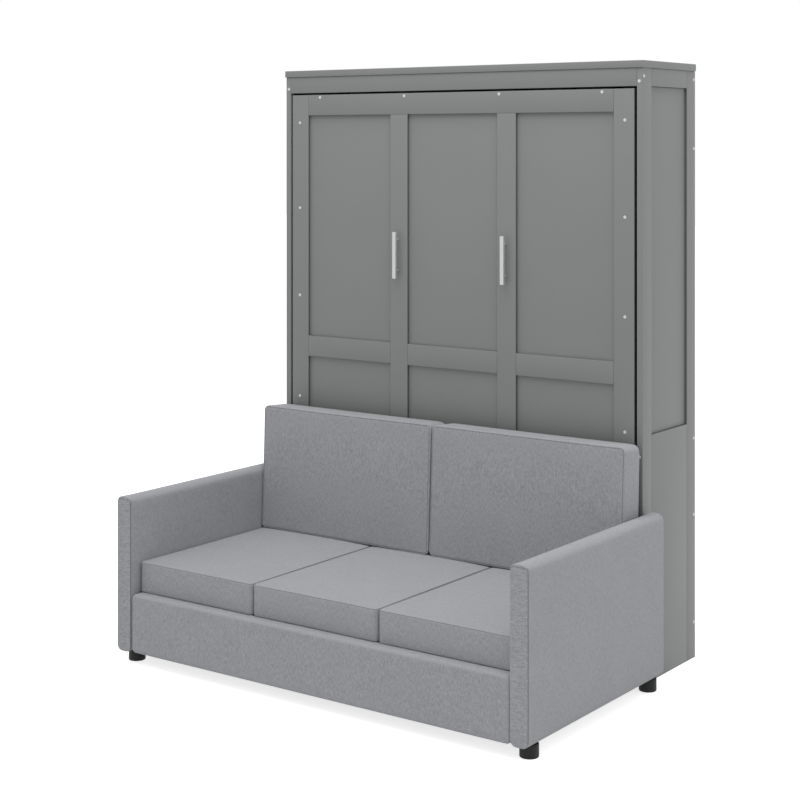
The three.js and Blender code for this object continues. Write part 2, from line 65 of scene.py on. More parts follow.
class Strand:
    """An output of a shader node, with which sums are written as plain expressions."""

    def __init__(self, tree, socket=None):
        self.tree = tree
        self.socket = socket

    def node(self, kind, settings, sockets, output=0):
        """Adds a node of any kind. Its settings come first, then the values or links of its sockets."""
        made = self.tree.nodes.new("ShaderNode" + kind)
        for name, value in settings.items():
            if name == "stops":
                ramp = made.color_ramp.elements
                while len(ramp) < len(value):
                    ramp.new(0.5)
                for stop, (place, colour) in zip(ramp, value):
                    stop.position = place
                    stop.color = colour
            else:
                setattr(made, name, value)
        for name, value in sockets.items():
            if isinstance(value, Strand):
                self.tree.links.new(value.socket, made.inputs[name])
            else:
                made.inputs[name].default_value = value
        return Strand(self.tree, made.outputs[output] if made.outputs else None)

    def stretched(self, scale):
        """These coordinates, scaled along each axis."""
        return self.node("Mapping", {}, {"Vector": self, "Scale": scale})

    def noise(self, scale, detail, roughness=0.5):
        """Soft noise over these coordinates."""
        sockets = {"Vector": self, "Scale": scale, "Detail": detail, "Roughness": roughness}
        return self.node("TexNoise", {}, sockets, "Fac")

    def part(self, letter):
        """One of the three parts of these coordinates."""
        return self.node("SeparateXYZ", {}, {"Vector": self}, letter)

    def between(self, first, second):
        """The first colour where this is 0, the second where it is 1."""
        return self.node("Mix", {"data_type": "RGBA"}, {0: self, 6: first, 7: second}, 2)

    def ramp(self, *stops):
        """Colours along a ramp, from pairs of a place on it and the colour there."""
        return self.node("ValToRGB", {"stops": stops}, {"Fac": self})

    def relief(self, strength, depth):
        """This as a height in the surface."""
        return self.node("Bump", {}, {"Strength": strength, "Distance": depth, "Height": self})

    def wave(self):
        return self.node("Math", {"operation": "SINE"}, {0: self})

    def size(self):
        return self.node("Math", {"operation": "ABSOLUTE"}, {0: self})

    def sum(self, operation, first, second):
        return self.node("Math", {"operation": operation}, {0: first, 1: second})

    def __add__(self, other):
        return self.sum("ADD", self, other)

    def __sub__(self, other):
        return self.sum("SUBTRACT", self, other)

    def __rsub__(self, other):
        return self.sum("SUBTRACT", other, self)

    def __mul__(self, other):
        return self.sum("MULTIPLY", self, other)


def finish_of(name, constants):
    """A new material, its main shader with the values that are the same all over it, and its coordinates."""
    material = bpy.data.materials.new(name)
    material.use_nodes = True
    shader = material.node_tree.nodes["Principled BSDF"]
    for socket, value in constants.items():
        shader.inputs[socket].default_value = value
    return material, shader, Strand(material.node_tree).node("TexCoord", {}, {}, "Object")


def feed(shader, links):
    for socket, strand in links.items():
        strand.tree.links.new(strand.socket, shader.inputs[socket])


def satin_paint(name, colour):
    """Sprayed satin paint: a faint cloudiness in tone and gloss, and a fine orange peel in its surface."""
    material, shader, place = finish_of(name, {"Specular IOR Level": 0.35})
    cloud = place.noise(scale=2.3, detail=3.0)
    speck = place.noise(scale=210.0, detail=2.0)
    peel = place.noise(scale=520.0, detail=1.0)
    colours = (cloud * 0.8 + speck * 0.2).between(tone(colour, -4), tone(colour, 4))
    relief = (peel + speck * 0.5).relief(strength=0.25, depth=0.0004)
    feed(shader, {"Base Color": colours, "Roughness": cloud * 0.14 + 0.44, "Normal": relief})
    return material


def pick(*pieces):
    """Selects these objects and no others. The first is the one that is worked on."""
    bpy.ops.object.select_all(action="DESELECT")
    for piece in pieces:
        piece.select_set(True)
    bpy.context.view_layer.objects.active = pieces[0]


def put_in_mesh(piece):
    """Moves the place, turn and size of an object into its mesh."""
    pick(piece)
    bpy.ops.object.transform_apply(location=True, rotation=True, scale=True)


def block_at(name, low, high):
    """A block between two corners, its place and size already in its mesh, and ready to be shaped."""
    bpy.ops.object.select_all(action="DESELECT")
    low, high = Vector(low), Vector(high)
    bpy.ops.mesh.primitive_cube_add(size=1, location=(low + high) / 2)
    piece = bpy.context.object
    piece.name = name
    piece.scale = high - low
    put_in_mesh(piece)
    return piece


def ease_arrises(piece, ease, steps=EASE_STEPS):
    """Rounds every edge of a block a little."""
    pick(piece)
    bpy.ops.object.mode_set(mode="EDIT")
    bpy.ops.mesh.select_all(action="SELECT")
    bpy.ops.mesh.bevel(offset=ease, segments=steps, affect="EDGES")
    bpy.ops.object.mode_set(mode="OBJECT")


def dress(piece, materials, body):
    piece.data.materials.clear()
    for material in materials:
        piece.data.materials.append(material)
    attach(piece, body)


def smooth_over(piece, angle=SMOOTH_ANGLE):
    pick(piece)
    bpy.ops.object.shade_smooth_by_angle(angle=math.radians(angle))


def painted_board(node, ease, body, edges=()):
    """A board of the size of its node, with every arris eased. Edges names the sides given the darker grey,
    painted shade of the recess, each as an axis and the way that it looks along it."""
    piece = block_at(node + "_painted", *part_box(node))
    ease_arrises(piece, ease)
    dress(piece, [board_paint, painted_edge_shade], body)
    for face in piece.data.polygons:
        darker = any(face.normal[axis] * way > SQUARELY for axis, way in edges)
        face.material_index = 1 if darker else 0
    smooth_over(piece)
    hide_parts(node)


board_paint = satin_paint("satin_grey_paint", PAINT)
# The second, darker grey goes on the narrow edges round each set-back panel: painted shade of the recess.
painted_edge_shade = satin_paint("satin_grey_painted_edge_shade", PAINTED_EDGE_SHADE)
for side in ("left", "right"):
    painted_board(f"front_post_{side}", POST_EASE, "cabinet")
    painted_board(f"rear_post_{side}", POST_EASE, "cabinet", [(Y, -1)])
    painted_board(f"side_top_rail_{side}", POST_EASE, "cabinet", [(Z, -1)])
    painted_board(f"side_lower_panel_{side}", POST_EASE, "cabinet", [(Z, 1)])
    painted_board(f"side_upper_panel_{side}", PANEL_EASE, "cabinet")
for board in ("top_board", "header", "wall_rail", "back_panel", "kick_board"):
    painted_board(board, POST_EASE, "cabinet")


# Bed front: three set-back panels behind planted stiles and rails, which make six fields. All is painted
# as the cabinet is, and it turns down with the bed.
FRONT_EASE = 0.0014
# The stiles' and rails' edges round each field take the darker grey: painted shade of the recess.
NARROW_EDGES = [(X, -1), (X, 1), (Z, -1), (Z, 1)]
for board in ("stile_left", "stile_right", "mid_stile_left", "mid_stile_right", "top_rail", "bottom_rail",
              "mid_rail_left", "mid_rail_centre", "mid_rail_right"):
    painted_board(board, FRONT_EASE, "bed", NARROW_EDGES)
for panel in ("front_panel_left", "front_panel_centre", "front_panel_right"):
    painted_board(panel, PANEL_EASE, "bed")


# Screw caps: small pale plastic buttons pressed over the screws, in the stiles and top rail of the bed
# front and in the posts. Each sits with its back against the face.
CAP_RADIUS = 0.006
CAP_RISE = 0.0013
CAP_EDGE = 0.0006
CAP_SIDES = 20
CAP_WHITE = (214, 215, 216)
CABINET_FRONT = 0.2355
TOP_RAIL_CAP_HEIGHT = 2.090
TOP_RAIL_CAPS = (-0.637, -0.221, 0.214, 0.650)
STILE_CAPS = {"left": -0.741, "right": 0.742}
STILE_CAP_HEIGHTS = (1.989, 1.645, 1.292, 0.884)
FRONT_POST_CAP = 0.799
FRONT_POST_CAP_HEIGHTS = (2.126, 0.802)
POST_SIDE_CAP_SETBACK = 0.0098
POST_SIDE_CAP_HEIGHT = 2.144
REAR_POST_CAP_SETBACK = 0.401
REAR_POST_CAP_HEIGHTS = (2.142, 1.887, 0.814, 0.532, 0.133)
FORWARDS = (0, -1, 0)


def cap_plastic():
    material, shader, place = finish_of("cap_plastic", {"Specular IOR Level": 0.5})
    grain = place.noise(scale=900.0, detail=2.0)
    colours = grain.between(tone(CAP_WHITE), tone(CAP_WHITE, 10))
    relief = grain.relief(strength=0.1, depth=0.0002)
    feed(shader, {"Base Color": colours, "Roughness": grain * 0.1 + 0.3, "Normal": relief})
    return material


def ease_rims(piece, ease, picked):
    """Rounds the rims of the faces for which picked(face) is true."""
    bpy.ops.object.mode_set(mode="EDIT")
    bpy.ops.mesh.select_mode(type="FACE")
    bpy.ops.mesh.select_all(action="DESELECT")
    mesh = bmesh.from_edit_mesh(piece.data)
    for face in mesh.faces:
        face.select_set(picked(face))
    bmesh.update_edit_mesh(piece.data)
    bpy.ops.mesh.bevel(offset=ease, segments=EASE_STEPS, affect="EDGES")
    bpy.ops.object.mode_set(mode="OBJECT")


def screw_cap(name, place, facing, body):
    """A cap with its back at a place on a face. Facing is the way that it looks, along x or y."""
    bpy.ops.object.select_all(action="DESELECT")
    turn = (math.pi / 2, 0, 0) if facing[Y] else (0, facing[X] * math.pi / 2, 0)
    place, facing = Vector(place), Vector(facing)
    bpy.ops.mesh.primitive_cylinder_add(vertices=CAP_SIDES, radius=CAP_RADIUS, depth=CAP_RISE,
                                        location=place + facing * CAP_RISE / 2, rotation=turn)
    piece = bpy.context.object
    piece.name = name
    put_in_mesh(piece)
    face_at = place.dot(facing) + CAP_RISE
    ease_rims(piece, CAP_EDGE,
              lambda face: abs(face.calc_center_median().dot(facing) - face_at) < CAP_EDGE / 2)
    dress(piece, [cap_finish], body)
    smooth_over(piece)


cap_finish = cap_plastic()
half_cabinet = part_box("front_post_right")[1].x
for number, x in enumerate(TOP_RAIL_CAPS, 1):
    screw_cap(f"cap_top_rail_{number}", (x, CABINET_FRONT, TOP_RAIL_CAP_HEIGHT), FORWARDS, "bed")
for number, z in enumerate(STILE_CAP_HEIGHTS, 1):
    for side, x in STILE_CAPS.items():
        screw_cap(f"cap_stile_{side}_{number}", (x, CABINET_FRONT, z), FORWARDS, "bed")
for side, sign in (("left", -1), ("right", 1)):
    for number, z in enumerate(FRONT_POST_CAP_HEIGHTS, 1):
        place = (sign * FRONT_POST_CAP, CABINET_FRONT, z)
        screw_cap(f"cap_front_post_{side}_{number}", place, FORWARDS, "cabinet")
    outwards = (sign, 0, 0)
    place = (sign * half_cabinet, CABINET_FRONT + POST_SIDE_CAP_SETBACK, POST_SIDE_CAP_HEIGHT)
    screw_cap(f"cap_post_side_{side}", place, outwards, "cabinet")
    for number, z in enumerate(REAR_POST_CAP_HEIGHTS, 1):
        place = (sign * half_cabinet, CABINET_FRONT + REAR_POST_CAP_SETBACK, z)
        screw_cap(f"cap_rear_post_{side}_{number}", place, outwards, "cabinet")


# Pull handles: a flat-sided bar of satin metal with eased edges, on two thin round posts that are screwed
# through the middle stiles. The bar's face lies a little behind that of the CAD's bar, and further left.
BAR_EASE = 0.0007
BAR_EXTRA = 0.0018
BAR_SETBACK = 0.005
BAR_ASIDE = 0.0025
BAR_DEPTH = 0.010
POST_RADIUS = 0.0036
POST_OFFSET = 0.0595
POST_RIM = 0.0005
POST_SIDES = 24
HANDLE_METAL = (212, 213, 215)


def brushed_metal():
    material, shader, place = finish_of("brushed_handle_metal", {"Metallic": 0.4})
    lines = place.stretched((900.0, 900.0, 18.0)).noise(scale=1.0, detail=3.0)
    cloud = place.noise(scale=30.0, detail=2.0)
    colours = lines.between(tone(HANDLE_METAL, -14), tone(HANDLE_METAL))
    relief = lines.relief(strength=0.12, depth=0.0002)
    feed(shader, {"Base Color": colours, "Roughness": cloud * 0.12 + 0.34, "Normal": relief})
    return material


def round_bar(name, radius, start_point, end_point, ease, sides):
    """A straight round bar between two points, with its two rims eased."""
    bpy.ops.object.select_all(action="DESELECT")
    start_point, end_point = Vector(start_point), Vector(end_point)
    way = end_point - start_point
    turn = way.to_track_quat("Z", "Y").to_euler()
    bpy.ops.mesh.primitive_cylinder_add(vertices=sides, radius=radius, depth=way.length,
                                        location=(start_point + end_point) / 2, rotation=turn)
    piece = bpy.context.object
    piece.name = name
    put_in_mesh(piece)
    ease_rims(piece, ease, lambda face: len(face.verts) == sides)
    return piece


def joined(name, parts):
    pick(*parts)
    bpy.ops.object.join()
    whole = bpy.context.object
    whole.name = name
    return whole


handle_finish = brushed_metal()
for side in ("left", "right"):
    low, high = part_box(f"handle_{side}")
    low.x, high.x = low.x - BAR_ASIDE, high.x - BAR_ASIDE
    face = low.y + BAR_SETBACK
    x, y = (low.x + high.x) / 2, face + BAR_DEPTH / 2
    middle = (low.z + high.z) / 2
    bar = block_at("bar", (low.x - BAR_EXTRA, face, low.z - BAR_EXTRA),
                   (high.x + BAR_EXTRA, face + BAR_DEPTH, high.z + BAR_EXTRA))
    ease_arrises(bar, BAR_EASE)
    parts = [bar]
    for end in (-1, 1):
        z = middle + end * POST_OFFSET
        parts.append(round_bar("post", POST_RADIUS, (x, high.y, z), (x, y, z), POST_RIM, POST_SIDES))
    handle = joined(f"handle_bar_{side}", parts)
    dress(handle, [handle_finish], "bed")
    smooth_over(handle)
    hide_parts(f"handle_{side}")


# Steel bed frame: two long angles, a head rail, a foot rail, a bearer down the middle and a stiffener,
# welded and powder coated in fine black. It hides behind the front and carries the slats. The folding leg
# is two flat bars on a round one.
STEEL_EASE = 0.0005
STEEL_STEPS = 2
WELD = 0.00001
FLAT_ANGLE = 1
SHARP_ANGLE = 50
STEEL_SMOOTH_ANGLE = 35
COAT_BLACK = (43, 44, 46)


def powder_coat():
    material, shader, place = finish_of("black_powder_coat", {"Specular IOR Level": 0.5})
    cloud = place.noise(scale=6.0, detail=3.0)
    grain = place.noise(scale=1500.0, detail=1.0)
    colours = (cloud * 0.6 + grain * 0.4).between(tone(COAT_BLACK), tone(COAT_BLACK, 10))
    relief = grain.relief(strength=0.3, depth=0.0003)
    feed(shader, {"Base Color": colours, "Roughness": cloud * 0.15 + 0.42, "Normal": relief})
    return material


def eased_copy(node, ease, finish, body):
    """A part as its node has it, welded into one skin, with its sharp rims eased and its rounds smooth."""
    piece = bpy.data.objects.new(node + "_part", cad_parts[node].data.copy())
    bpy.context.scene.collection.objects.link(piece)
    pick(piece)
    bpy.ops.object.mode_set(mode="EDIT")
    bpy.ops.mesh.select_all(action="SELECT")
    bpy.ops.mesh.remove_doubles(threshold=WELD)
    bpy.ops.mesh.dissolve_limited(angle_limit=math.radians(FLAT_ANGLE))
    bpy.ops.object.mode_set(mode="OBJECT")
    bpy.ops.object.modifier_add(type="BEVEL")
    rims = piece.modifiers[-1]
    rims.width = ease
    rims.segments = STEEL_STEPS
    rims.limit_method = "ANGLE"
    rims.angle_limit = math.radians(SHARP_ANGLE)
    bpy.ops.object.modifier_apply(modifier=rims.name)
    dress(piece, [finish], body)
    smooth_over(piece, STEEL_SMOOTH_ANGLE)
    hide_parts(node)


coat = powder_coat()
for part in ("side_rail_left", "side_rail_right", "head_rail", "foot_rail", "slat_bearer", "front_stiffener"):
    eased_copy(part, STEEL_EASE, coat, "bed")
eased_copy("folding_leg", STEEL_EASE, coat, "foot_leg")


# Pivots and lift struts: zinc-plated plates with pins, and a gas strut on each side, a black tube with a
# bright rod. The plates are screwed to the inside of the cabinet.
PLATE_EASE = 0.0004
ZINC = (186, 189, 193)


def zinc_plate():
    material, shader, place = finish_of("zinc_plating", {"Metallic": 0.95})
    cloud = place.noise(scale=45.0, detail=4.0)
    colours = cloud.between(tone(ZINC, -24), tone(ZINC))
    relief = cloud.relief(strength=0.1, depth=0.0003)
    feed(shader, {"Base Color": colours, "Roughness": cloud * 0.2 + 0.22, "Normal": relief})
    return material


plating = zinc_plate()
for side in ("left", "right"):
    eased_copy(f"pivot_bracket_{side}", PLATE_EASE, plating, "cabinet")
    eased_copy(f"strut_bracket_{side}", PLATE_EASE, plating, "cabinet")
    eased_copy(f"strut_cylinder_{side}", PLATE_EASE, coat, f"strut_cylinder_{side}")
    eased_copy(f"strut_rod_{side}", PLATE_EASE, plating, f"strut_rod_{side}")


# Slats: thirteen flat birch slats with round edges, stapled to two woven tapes that keep them apart. The
# roll lies in the steel bed frame.
SLAT_COUNT = 13
SLAT_WIDTH = 0.062
SLAT_THICKNESS = 0.018
SLAT_EASE = 0.004
SLAT_STEPS = 4
TAPE_WIDTH = 0.030
TAPE_OFFSET = 0.420
TAPE_SINK = 0.0005
TAPE_EASE = 0.0006
TAPE_STEPS = 2
BIRCH = (214, 190, 148)
TAPE_GREY = (96, 98, 102)


def birch_wood():
    material, shader, place = finish_of("birch_slat", {"Specular IOR Level": 0.4})
    grain = place.stretched((2.2, 60.0, 60.0)).noise(scale=1.0, detail=6.0, roughness=0.6)
    pores = place.stretched((14.0, 700.0, 700.0)).noise(scale=1.0, detail=2.0)
    mix = grain * 0.75 + pores * 0.25
    colours = mix.ramp((0.30, tone(BIRCH, -34)), (0.50, tone(BIRCH)), (0.75, tone(BIRCH, 16)))
    relief = pores.relief(strength=0.2, depth=0.0004)
    feed(shader, {"Base Color": colours, "Roughness": grain * 0.2 + 0.4, "Normal": relief})
    return material


def woven_tape():
    material, shader, place = finish_of("woven_tape", {"Specular IOR Level": 0.2})
    across = (place.part("X") * 4200.0).wave()
    along = (place.part("Z") * 3100.0).wave()
    weave = across * along * 0.5 + 0.5
    colours = weave.between(tone(TAPE_GREY), tone(TAPE_GREY, 26))
    relief = weave.relief(strength=0.5, depth=0.0004)
    feed(shader, {"Base Color": colours, "Roughness": weave * 0.1 + 0.8, "Normal": relief})
    return material


low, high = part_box("slat_roll")
pitch = (high.z - low.z - SLAT_WIDTH) / (SLAT_COUNT - 1)
row = []
for number in range(SLAT_COUNT):
    z = low.z + number * pitch
    slat = block_at("slat", (low.x, low.y, z), (high.x, low.y + SLAT_THICKNESS, z + SLAT_WIDTH))
    ease_arrises(slat, SLAT_EASE, SLAT_STEPS)
    row.append(slat)
slats = joined("birch_slats", row)
dress(slats, [birch_wood()], "bed")
smooth_over(slats)
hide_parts("slat_roll")
tapes = []
for sign in (-1, 1):
    x, y = sign * TAPE_OFFSET, low.y + SLAT_THICKNESS - TAPE_SINK
    tape = block_at("tape", (x - TAPE_WIDTH / 2, y, low.z), (x + TAPE_WIDTH / 2, high.y, high.z))
    ease_arrises(tape, TAPE_EASE, TAPE_STEPS)
    tapes.append(tape)
tape = joined("slat_tapes", tapes)
dress(tape, [woven_tape()], "bed")
smooth_over(tape)


# Sofa base: a deck of dark stained chipboard on a rear rail, hidden under the cushions. Both are plain
# sawn boards with their edges rubbed down.
BASE_EASE = 0.001
BASE_STEPS = 2
CHIPBOARD = (78, 74, 70)


def stained_board():
    material, shader, place = finish_of("stained_chipboard", {"Specular IOR Level": 0.2})
    chips = place.node("TexVoronoi", {}, {"Vector": place, "Scale": 260.0}, "Color")
    grey = place.node("RGBToBW", {}, {"Color": chips})
    dust = place.noise(scale=700.0, detail=3.0)
    mix = grey * 0.7 + dust * 0.3
    colours = mix.ramp((0.2, tone(CHIPBOARD, -22)), (0.55, tone(CHIPBOARD)), (0.85, tone(CHIPBOARD, 14)))
    relief = grey.relief(strength=0.3, depth=0.0004)
    feed(shader, {"Base Color": colours, "Roughness": dust * 0.15 + 0.75, "Normal": relief})
    return material


chipboard = stained_board()
for board in ("seat_deck", "sofa_rear_rail"):
    piece = block_at(board + "_stained", *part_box(board))
    ease_arrises(piece, BASE_EASE, BASE_STEPS)
    dress(piece, [chipboard], "cabinet")
    smooth_over(piece)
    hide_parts(board)


# Feet: straight turned posts of black plastic, with their rims eased. Two are screwed up into each
# arm, near its front and its rear end.
FOOT_RIM = 0.003
FOOT_SIDES = 48
FOOT_BLACK = (17, 18, 20)


def black_plastic():
    material, shader, place = finish_of("black_foot_plastic", {"Specular IOR Level": 0.3})
    cloud = place.noise(scale=25.0, detail=3.0)
    grain = place.noise(scale=1100.0, detail=1.0)
    colours = (cloud * 0.7 + grain * 0.3).between(tone(FOOT_BLACK), tone(FOOT_BLACK, 8))
    relief = grain.relief(strength=0.25, depth=0.0003)
    feed(shader, {"Base Color": colours, "Roughness": cloud * 0.15 + 0.5, "Normal": relief})
    return material


foot_finish = black_plastic()
for side in ("left", "right"):
    for end in ("front", "rear"):
        node = f"foot_{end}_{side}"
        low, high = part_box(node)
        x, y = (low.x + high.x) / 2, (low.y + high.y) / 2
        radius = (high.x - low.x) / 2
        foot = round_bar(node + "_turned", radius, (x, y, low.z), (x, y, high.z), FOOT_RIM, FOOT_SIDES)
        dress(foot, [foot_finish], "cabinet")
        smooth_over(foot)
        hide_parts(node)


# Arms: a timber frame under thin foam, covered in light grey melange linen. The long edges are rounded
# over. A flat band closes the front end, its linen turned sideways. It is sewn on along both edges and
# below the top's overhang.
ARM_ROUND = 0.022
ARM_ROUND_BEHIND = 0.028
ARM_ROUND_BELOW = 0.022
ARM_LOWER_PART = 0.1
ARM_END_ROUND = 0.003
ROUND_STEPS = 5
END_STEPS = 3
BAND_TOP = 0.010
BAND_RING = 0.0020
BAND_INNER_RING = 0.006
BAND_TAPER = 0.05
BAND_FACE_SHARE = 0.6
BAND_EDGE_SHARE = 0.25
FRONT_SLICES = (0.006, 0.018)
FRONT_MARGIN = 0.02
FOOT_MARGIN = 0.02
FAR_MARGIN = 0.01
SIDE_MARGIN = 0.015
SIDE_GRID = 0.02
COVER_GRID = 0.03
SEAM_DEPTH = 0.0010
SEAM_SHARE = 0.6
SEAM_SHADOW = (70, 71, 75)
AT_SEAM = 0.0003
LEVEL = 0.000001
UPRIGHT = 0.0001
FACES_AXIS = 0.99
LINEN_LIGHT = (188, 189, 191)
LINEN_DARK = (127, 128, 134)
WEAVE = 0.0012
STREAK_WIDTH = 0.0024
STREAK_LENGTH = 0.014


def linen(name, shares):
    """Melange linen: threads of two greys, with streaks along them, and a plain weave in the surface.

    The shares say how much shows of the threads that lie across x, across y and across z."""
    material, shader, place = finish_of(name, {"Specular IOR Level": 0.2, "Sheen Weight": 0.12,
                                               "Sheen Roughness": 0.5})
    facing = place.node("TexCoord", {}, {}, "Normal")
    streaks = None
    waves = None
    for axis, letter in enumerate("XYZ"):
        scale = [1 / STREAK_LENGTH] * 3
        scale[axis] = 1 / STREAK_WIDTH
        noise = place.stretched(scale).noise(scale=1.0, detail=4.0, roughness=0.65)
        lies = 1.0 - facing.part(letter).size()
        wave = (place.part(letter) * (math.pi / WEAVE)).wave()
        streak = (noise - 0.5) * lies * shares[axis]
        streaks = streak if streaks is None else streaks + streak
        waves = wave * lies if waves is None else waves + wave * lies
    cloud = place.noise(scale=9.0, detail=3.0)
    level = facing.part("Z").size()
    mix = streaks * (1.6 - level * 0.9) + 0.5 + (cloud - 0.5) * 0.12
    threads = mix.ramp((0.0, tone(LINEN_DARK)), (1.0, tone(LINEN_LIGHT)))
    seam = place.node("Attribute", {"attribute_name": "seam"}, {}, "Fac")
    colours = (seam * SEAM_SHARE).between(threads, tone(SEAM_SHADOW))
    relief = (streaks + waves * 0.12).relief(strength=0.35, depth=0.0006)
    feed(shader, {"Base Color": colours, "Roughness": cloud * 0.1 + 0.85, "Normal": relief})
    return material


def pick_edges(piece, axis, along):
    """In edit mode, selects the edges that run along an axis, or else those that lie square to it."""
    bpy.ops.mesh.select_mode(type="EDGE")
    bpy.ops.mesh.select_all(action="DESELECT")
    mesh = bmesh.from_edit_mesh(piece.data)
    for edge in mesh.edges:
        one, other = [v.co for v in edge.verts]
        rise = abs(one[axis] - other[axis])
        edge.select_set(rise > UPRIGHT if along else rise < LEVEL)
    bmesh.update_edit_mesh(piece.data)


def round_over(piece, axis, corner, end, end_steps):
    """In edit mode, rounds a block's edges along an axis by corner, then the rims of its two ends by end."""
    pick_edges(piece, axis, along=True)
    bpy.ops.mesh.bevel(offset=corner, segments=ROUND_STEPS, affect="EDGES")
    pick_edges(piece, axis, along=False)
    bpy.ops.mesh.bevel(offset=end, segments=end_steps, affect="EDGES")


def draw_rings(piece, axis, sign, steps):
    """In edit mode, draws rings inside the flat end face that looks along an axis, each further in."""
    bpy.ops.mesh.select_mode(type="FACE")
    bpy.ops.mesh.select_all(action="DESELECT")
    mesh = bmesh.from_edit_mesh(piece.data)
    mesh.normal_update()
    flat = [face for face in mesh.faces if face.normal[axis] * sign > FACES_AXIS]
    max(flat, key=lambda face: face.calc_area()).select_set(True)
    bmesh.update_edit_mesh(piece.data)
    for step in steps:
        bpy.ops.mesh.inset(thickness=step, depth=0)


def slice_across(axis, places):
    """In edit mode, cuts the whole mesh by planes across an axis, at the given places."""
    for place in places:
        bpy.ops.mesh.select_all(action="SELECT")
        point, normal = [0, 0, 0], [0, 0, 0]
        point[axis], normal[axis] = place, 1
        bpy.ops.mesh.bisect(plane_co=point, plane_no=normal)


def evenly(start, end, step):
    """Places between a start and an end, as near as can be to a step apart."""
    count = max(1, round((end - start) / step))
    return [start + (end - start) * k / count for k in range(1, count)]


def past_corner(point, low, high, axis, radius):
    """How far past the start of a corner's rounding a point lies along an axis, and on which side."""
    middle, half = (low[axis] + high[axis]) / 2, (high[axis] - low[axis]) / 2
    return abs(point[axis] - middle) - (half - radius), 1 if point[axis] > middle else -1


def inside_edge(point, low, high, axes, corner):
    """How far a point lies inside the edge of a rectangle with round corners, seen along the third axis."""
    over = [past_corner(point, low, high, axis, corner)[0] for axis in axes]
    return corner - math.hypot(max(over[0], 0), max(over[1], 0)) - min(max(over), 0)


def reround(piece, low, high, axes, corner, corner_at):
    """Turns the corners of a rounded box from the radius that they were made with to corner_at(point)."""
    for v in piece.data.vertices:
        radius = corner_at(v.co, low, high)
        over = {axis: past_corner(v.co, low, high, axis, radius) for axis in axes}
        reach = math.hypot(*[max(far, 0) for far, way in over.values()])
        wanted = radius - inside_edge(v.co, low, high, axes, corner)
        if all(far > 0 for far, way in over.values()) and reach > wanted:
            for axis, (far, way) in over.items():
                v.co[axis] -= way * far * (1 - wanted / reach)


def mark_seam(piece, seam_points):
    """Presses the points of a seam into the cover, and marks them for its darker line."""
    attribute = piece.data.attributes.new("seam", "FLOAT", "POINT")
    normals = [v.normal.copy() for v in piece.data.vertices]
    for index in seam_points:
        attribute.data[index].value = 1.0
        piece.data.vertices[index].co -= normals[index] * SEAM_DEPTH


def subdivide_smooth(piece):
    pick(piece)
    bpy.ops.object.modifier_add(type="SUBSURF")
    smoother = piece.modifiers[-1]
    smoother.levels = 1
    smoother.render_levels = 1
    bpy.ops.object.modifier_apply(modifier=smoother.name)
    bpy.ops.object.shade_smooth()


def arm_corner(point, low, high):
    """The radius of an arm's long edges, which grows from the band backwards, save on the lower ones."""
    if point.z < low.z + ARM_LOWER_PART:
        return ARM_ROUND_BELOW
    return ARM_ROUND + (ARM_ROUND_BEHIND - ARM_ROUND) * min(1, (point.y - low.y) / BAND_TAPER)


cloth = linen("melange_linen", (1.0, 0.6, 0.4))
band_cloth = linen("melange_linen_sideways", (0.4, 0.6, 1.0))
for side in ("left", "right"):
    low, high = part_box(f"arm_{side}")
    band_top = high.z - BAND_TOP
    arm = block_at(f"arm_cover_{side}", low, high)
    bpy.ops.object.mode_set(mode="EDIT")
    round_over(arm, Y, ARM_ROUND, ARM_END_ROUND, END_STEPS)
    draw_rings(arm, Y, -1, (BAND_RING, BAND_INNER_RING))
    slice_across(Y, [low.y + place for place in FRONT_SLICES])
    slice_across(Y, evenly(low.y + FRONT_MARGIN, high.y - FAR_MARGIN, COVER_GRID))
    slice_across(Z, [band_top + BAND_RING, band_top, band_top - BAND_RING])
    slice_across(Z, evenly(low.z + FOOT_MARGIN, band_top - FAR_MARGIN, COVER_GRID))
    slice_across(X, evenly(low.x + SIDE_MARGIN, high.x - SIDE_MARGIN, SIDE_GRID))
    bpy.ops.object.mode_set(mode="OBJECT")
    dress(arm, [cloth, band_cloth], "cabinet")
    points = arm.data.vertices
    band_face = low.y + ARM_END_ROUND * BAND_FACE_SHARE
    in_band = {v.index for v in points if v.co.y < band_face and v.co.z < band_top + AT_SEAM}
    for face in arm.data.polygons:
        face.material_index = 1 if all(k in in_band for k in face.vertices) else 0
    seam_points = [k for k in in_band if points[k].co.z > band_top - AT_SEAM]
    for v in points:
        beside = inside_edge(v.co, low, high, (X, Z), ARM_ROUND) < ARM_END_ROUND * BAND_EDGE_SHARE
        in_front = v.co.y < low.y + ARM_END_ROUND + AT_SEAM
        if beside and in_front and low.z + FAR_MARGIN < v.co.z < band_top - AT_SEAM:
            seam_points.append(v.index)
    reround(arm, low, high, (X, Z), ARM_ROUND, arm_corner)
    mark_seam(arm, seam_points)
    subdivide_smooth(arm)
    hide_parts(f"arm_{side}")


# Front rail of the sofa: a board under foam, wrapped in the same linen, with round ends and edges. It has
# no seam that shows.
RAIL_CORNER = 0.018
RAIL_ROUND = 0.011
RAIL_STEPS = 4
RAIL_RING = 0.004
RAIL_MARGIN = 0.02
low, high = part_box("sofa_front_rail")
rail = block_at("front_rail_cover", low, high)
bpy.ops.object.mode_set(mode="EDIT")
round_over(rail, Y, RAIL_CORNER, RAIL_ROUND, RAIL_STEPS)
draw_rings(rail, Y, -1, (RAIL_RING,))
slice_across(X, evenly(low.x + RAIL_MARGIN, high.x - RAIL_MARGIN, COVER_GRID))
slice_across(Z, evenly(low.z + RAIL_MARGIN, high.z - RAIL_MARGIN, COVER_GRID))
bpy.ops.object.mode_set(mode="OBJECT")
mark_seam(rail, [])
subdivide_smooth(rail)
dress(rail, [cloth], "cabinet")
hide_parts("sofa_front_rail")


